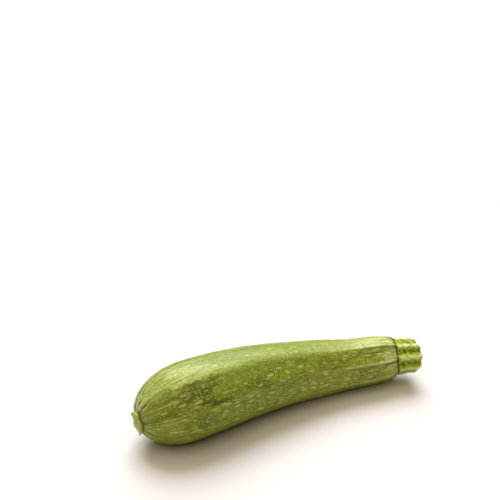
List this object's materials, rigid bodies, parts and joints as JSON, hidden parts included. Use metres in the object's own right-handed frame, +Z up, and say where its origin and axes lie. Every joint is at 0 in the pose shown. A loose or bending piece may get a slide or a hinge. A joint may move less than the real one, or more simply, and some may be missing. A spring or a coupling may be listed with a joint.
{
  "type": "courgette",
  "caption": "Whole light green courgette with a ribbed, gently bowed body, a cut ridged stem and a flower-end button, lying on its side.",
  "frame": {"origin": "middle of the footprint, on the surface the courgette lies on", "axes": "+X along the length from the flower end to the cut stem, +Z up from the surface, +Y to the side that the body bows towards"},
  "size_m": [0.1806, 0.0478, 0.0444],
  "materials": {
    "skin": "waxy light green skin with pale flecks",
    "stem": "matt, finely bristled green with brighter grooves",
    "button": "matt pale yellow-green"
  },
  "bodies": {
    "root": {"fruit": "skin", "stem": "stem", "flower_button": "button"}
  },
  "joints": []
}
